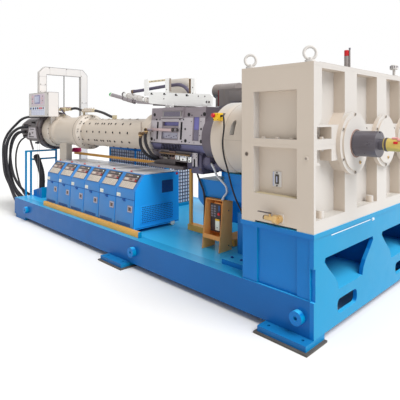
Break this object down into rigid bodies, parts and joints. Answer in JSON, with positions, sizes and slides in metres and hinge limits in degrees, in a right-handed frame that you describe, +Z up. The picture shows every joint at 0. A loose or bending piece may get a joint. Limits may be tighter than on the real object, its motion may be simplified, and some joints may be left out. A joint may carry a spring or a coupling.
{
  "type": "rubber extrusion line",
  "caption": "Cold-feed pin-barrel rubber extruder on a steel base with gearbox, feed section, head, drive and temperature units.",
  "frame": {"origin": "centre of the base frame at floor level", "axes": "+X along the line towards the gearbox, -Y towards the operator side, +Z up"},
  "size_m": [6.3281, 2.17, 2.238],
  "materials": {
    "blue_paint": "semi-gloss",
    "unit_paint": "semi-gloss",
    "beige_paint": "semi-gloss",
    "white_paint": "satin",
    "orange_paint": "satin",
    "yellow_plastic": "gloss",
    "machined_steel": "machined",
    "dark_steel": "oiled",
    "grey_paint": "satin",
    "brass": "satin",
    "zinc_yellow": "passivated",
    "black_rubber": "matt",
    "conduit_steel": "ribbed"
  },
  "bodies": {
    "machine": {"base_side_beams": "blue_paint", "lifting_bosses": "blue_paint", "base_deck": "blue_paint", "base_cross_members": "blue_paint", "base_feet": "blue_paint", "pedestal_walls": "blue_paint", "pedestal_end_plate": "blue_paint", "pedestal_top_plate": "blue_paint", "gearbox_lower_case": "beige_paint", "gearbox_upper_case": "beige_paint", "gearbox_top_cover": "beige_paint", "gearbox_eye_bolts": "beige_paint", "bearing_covers": "beige_paint", "rotary_union": "zinc_yellow", "drain_valve": "brass", "gearbox_fittings": "machined_steel", "throat_housing": "beige_paint", "throat_pedestal": "blue_paint", "emergency_stop": "yellow_plastic", "feed_housing": "machined_steel", "feed_tray": "dark_steel", "feed_roll_drive": "grey_paint", "hopper_frame": "white_paint", "feed_cylinders": "machined_steel", "pin_barrel": "beige_paint", "front_barrel": "beige_paint", "barrel_fittings": "brass", "barrel_leg": "beige_paint", "clamp_ring": "dark_steel", "die_head": "dark_steel", "orange_rails": "orange_paint", "control_stand": "orange_paint", "operator_cabinet": "white_paint", "cable_duct": "white_paint", "head_frame": "blue_paint", "suction_duct": "black_rubber", "drive_motor": "grey_paint", "cooling_unit": "blue_paint", "stop_cable": "black_rubber", "stand_conduit": "conduit_steel", "drive_hose": "black_rubber", "feed_hose_1": "black_rubber", "feed_hose_2": "black_rubber", "bracket_hose": "black_rubber", "barrel_hose_1": "black_rubber", "barrel_hose_2": "black_rubber", "head_hose_1": "black_rubber", "head_hose_2": "black_rubber", "head_hose_3": "black_rubber", "head_hose_4": "black_rubber", "head_hose_5": "black_rubber", "head_hose_6": "black_rubber", "temperature_unit_1": "unit_paint", "temperature_unit_2": "unit_paint", "temperature_unit_3": "unit_paint", "temperature_unit_4": "unit_paint", "temperature_unit_5": "unit_paint", "temperature_unit_6": "unit_paint"},
    "hub": {"output_hub": "dark_steel"},
    "lever": {"drain_valve_lever": "dark_steel"}
  },
  "joints": [
    {"name": "shaft_spin", "type": "hinge", "parent": "machine", "child": "hub", "pos_m": [2.6, -0.46, 1.28], "axis": [1, 0, 0], "continuous": true},
    {"name": "drain_lever", "type": "hinge", "parent": "machine", "child": "lever", "pos_m": [2.19, -1.01, 0.811], "axis": [0, 0, 1], "range_deg": [0, 90]}
  ]
}
